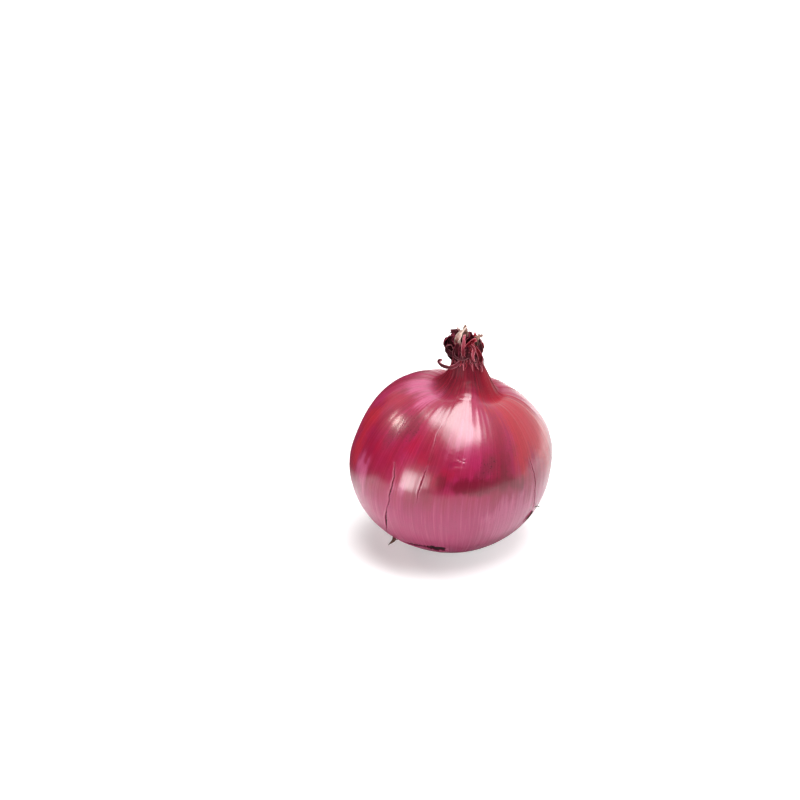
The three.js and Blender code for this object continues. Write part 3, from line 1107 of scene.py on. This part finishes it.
def makeRoot(number):
    # one tuft of dry, trimmed roots that curl under the foot of the skin
    rng = random.Random(100 + number)
    bm = bmesh.new()
    for i in range(roots["strands"]):
        angle = 2 * math.pi * (number + rng.uniform(-0.45, 0.45)) / roots["count"]
        reach = rng.uniform(*roots["reach"])
        lift = rng.uniform(0.0, 0.5)
        points = []
        for step in range(roots["steps"]):
            share = step / (roots["steps"] - 1)
            radius = roots["from"] + reach * share
            turn = angle + 0.22 * noise.noise(Vector((number * 2.3, i * 5.0, share * 2.4)))
            ceiling = 0.9 + 0.1 * max(radius - 11.0, 0.0) ** 1.5
            height = 0.38 + (ceiling - 0.45) * lift * share
            points.append(Vector((radius * math.cos(turn), radius * math.sin(turn), height)))
        thickness = roots["radius"] * rng.uniform(0.55, 1.0)
        radii = taper(len(points), thickness, thickness * rng.uniform(0.35, 0.7))
        addTube(bm, points, radii, roots["sides"])
    bmesh.ops.recalc_face_normals(bm, faces=bm.faces)
    return bm


rootFibre = makeFibreMaterial("dry root", (120, 92, 54), (168, 140, 92))
for number in range(1, roots["count"] + 1):
    piece = finishPiece(makeRoot(number), f"dryRoot{number:02d}", rootFibre)
    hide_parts(f"root_{number:02d}")
print("root plate and roots made")


floorHalfWidth = 6.0


def makeFloor():
    bm = bmesh.new()
    bmesh.ops.create_grid(bm, x_segments=1, y_segments=1, size=floorHalfWidth)
    # painted light: the floor glows, more to the right and further out where the camera sees it;
    # mirrored in the skin it glows only behind, ends soon in front and is painted dark red at the
    # back left
    material, tree, shader = newMaterial("pale floor")
    place = objectPlace(tree)
    seen = addNode(tree, "ShaderNodeLightPath").outputs["Is Camera Ray"]
    reach = addNode(tree, "ShaderNodeVectorMath", {0: place}, operation="LENGTH").outputs["Value"]
    parts = addNode(tree, "ShaderNodeSeparateXYZ", {0: place})
    aside, back = parts.outputs[0], parts.outputs[1]
    corner = times(tree, remap(tree, aside, 0.015, -0.03), remap(tree, back, 0.02, 0.07))
    openness = plus(tree, 1.0, times(tree, corner, -1.0))
    behind = times(tree, remap(tree, back, -0.15, 0.05), openness)
    lit = times(tree, remap(tree, reach, 0.06, 0.4), behind)
    # the glow lifts the floor's shadow, more on the right: painted light
    nearGlow = remap(tree, aside, -0.045, 0.025, 0.28, 0.62)
    farGlow = remap(tree, reach, 0.04, 0.4, nearGlow, 1.0)
    glow = addNode(tree, "ShaderNodeMix", {0: seen, 2: lit, 3: farGlow},
                   data_type="FLOAT").outputs[0]
    pale = (0.74, 0.74, 0.74, 1.0)
    # painted dark red reflection at the back left, in place of a neighbouring onion and its shade
    mirrored = mixColours(tree, openness, (0.1, 0.01, 0.03, 1.0), pale)
    setFinish(tree, shader, mixColours(tree, seen, mirrored, pale), 0.8, 0.2)
    tree.links.new(glow, shader.inputs["Emission Color"])
    shader.inputs["Emission Strength"].default_value = 0.9
    addMesh("paleFloor", bm, material)


makeFloor()


def areaLight(name, place, size, power, colour):
    data = bpy.data.lights.new(name, "AREA")
    data.shape = "RECTANGLE"
    data.size, data.size_y = size
    data.energy = power
    data.color = colour
    light = addObject(name, data)
    light.location = place
    light.visible_camera = False
    aim = middle - Vector(place)
    light.rotation_euler = aim.to_track_quat("-Z", "Y").to_euler()


middle = Vector((0.0, 0.0, 0.034))      # the lights aim here, and the camera close by
white = (1.0, 1.0, 1.0)
# place, size, power and colour
lights = {
    "overheadSoftbox": ((0.06, -0.14, 1.1), (0.74, 1.15), 14, white),
    "overheadMiddle": ((0.1, -0.13, 1.08), (0.46, 0.9), 6, white),
    "leftWindow": ((-0.98, -0.88, 0.26), (0.34, 0.5), 6.4, white),
    "leftWindowPane": ((-0.66, -1.08, 0.34), (0.2, 0.34), 2.0, white),
    "smallLeftLamp": ((-0.84, 0.32, 0.74), (0.13, 0.17), 1.5, (1.0, 0.9, 0.8)),
}
for name, settings in lights.items():
    areaLight(name, *settings)


def makeWorld():
    world = bpy.data.worlds.new("studio")
    world.use_nodes = True
    scene.world = world
    tree = world.node_tree
    background = tree.nodes["Background"]
    direction = addNode(tree, "ShaderNodeTexCoord").outputs["Generated"]
    towardsBack = addNode(tree, "ShaderNodeVectorMath", {0: direction, 1: (0.5, 0.85, 0.0)},
                          operation="DOT_PRODUCT").outputs["Value"]
    fromBack = remap(tree, towardsBack, -0.6, 0.8, 0.03, 0.8)
    parts = addNode(tree, "ShaderNodeSeparateXYZ", {0: direction})
    corner = times(tree, remap(tree, parts.outputs[0], 0.08, -0.14),
                   remap(tree, parts.outputs[2], 0.5, 0.15))
    mirrored = times(tree, fromBack, remap(tree, corner, 0.0, 1.0, 1.0, 0.1))
    ray = addNode(tree, "ShaderNodeLightPath").outputs["Is Camera Ray"]
    strength = addNode(tree, "ShaderNodeMix", {0: ray, 2: mirrored, 3: 1.0}, data_type="FLOAT")
    tree.links.new(strength.outputs[0], background.inputs["Strength"])
    background.inputs["Color"].default_value = (1, 1, 1, 1)


makeWorld()

view = {"lens": 100.0, "elevation": 25.0, "distance": 0.8714, "aside": -0.02, "above": 0.0245}


def makeCamera():
    data = bpy.data.cameras.new("camera")
    data.lens = view["lens"]
    data.sensor_width = 36.0
    data.clip_start, data.clip_end = 0.01, 30.0
    camera = addObject("camera", data)
    tilt = math.radians(view["elevation"])
    forward = Vector((0, math.cos(tilt), -math.sin(tilt)))
    up = Vector((0, math.sin(tilt), math.cos(tilt)))
    aim = middle + Vector((1, 0, 0)) * view["aside"] + up * view["above"]
    camera.location = aim - forward * view["distance"]
    camera.rotation_euler = forward.to_track_quat("-Z", "Y").to_euler()
    scene.camera = camera


makeCamera()
scene.view_settings.view_transform = "Standard"
print("stage set")
